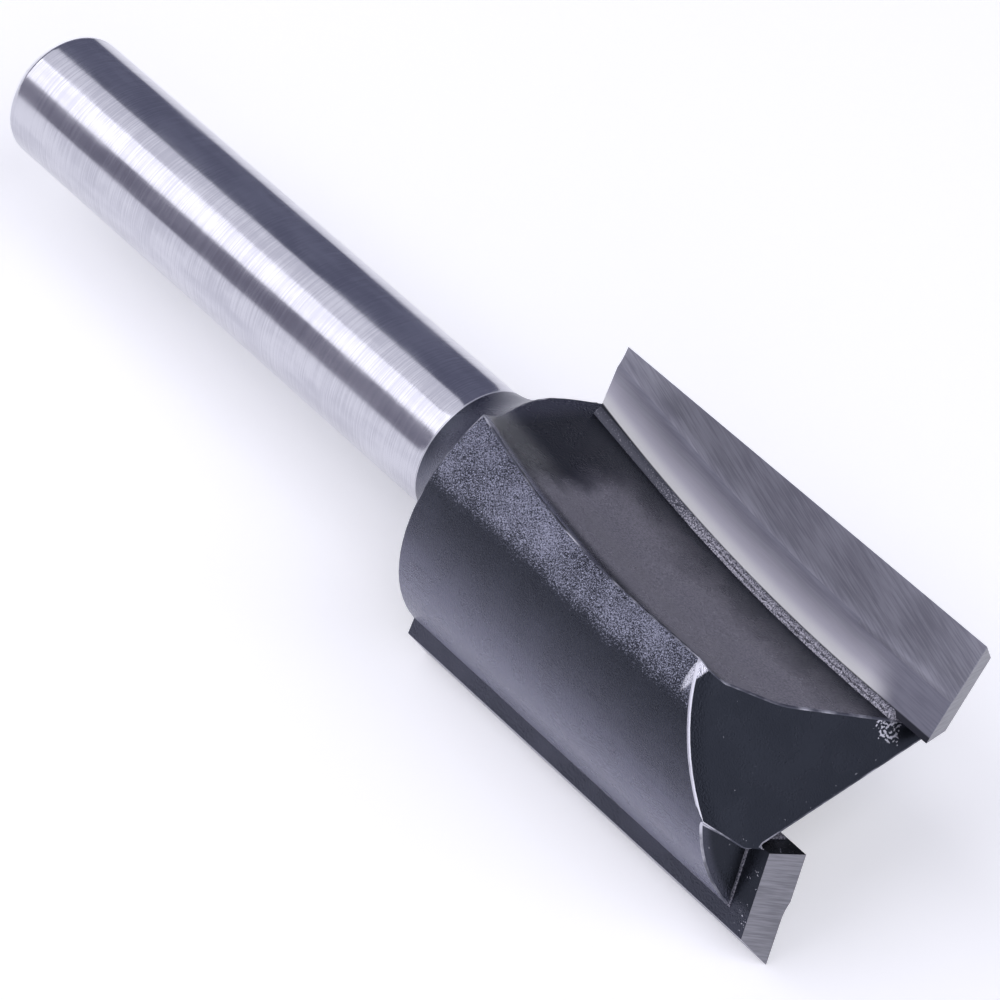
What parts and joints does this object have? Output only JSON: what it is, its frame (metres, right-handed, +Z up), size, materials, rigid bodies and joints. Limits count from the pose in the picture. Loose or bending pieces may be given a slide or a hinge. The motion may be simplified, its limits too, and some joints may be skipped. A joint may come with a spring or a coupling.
{
  "type": "straight router bit",
  "caption": "Two-flute straight router bit with a round shank, a painted fluted head and two brazed carbide cutting tips.",
  "frame": {"origin": "centre of the shank's free end", "axes": "+X along the tool's axis to the cutting end, +Z up while the bit lies on a bench"},
  "size_m": [0.0715, 0.0174, 0.0158],
  "materials": {
    "steel_body": "steel with a satin blue-black paint on the head and neck, bright ground shank",
    "carbide": "ground tungsten carbide, fine diagonal grinding marks",
    "braze": "rough silver braze"
  },
  "bodies": {
    "root": {"body": "steel_body", "carbide_tip_1": "carbide", "carbide_tip_2": "carbide", "braze_seam_1": "braze", "braze_seam_2": "braze"}
  },
  "joints": []
}
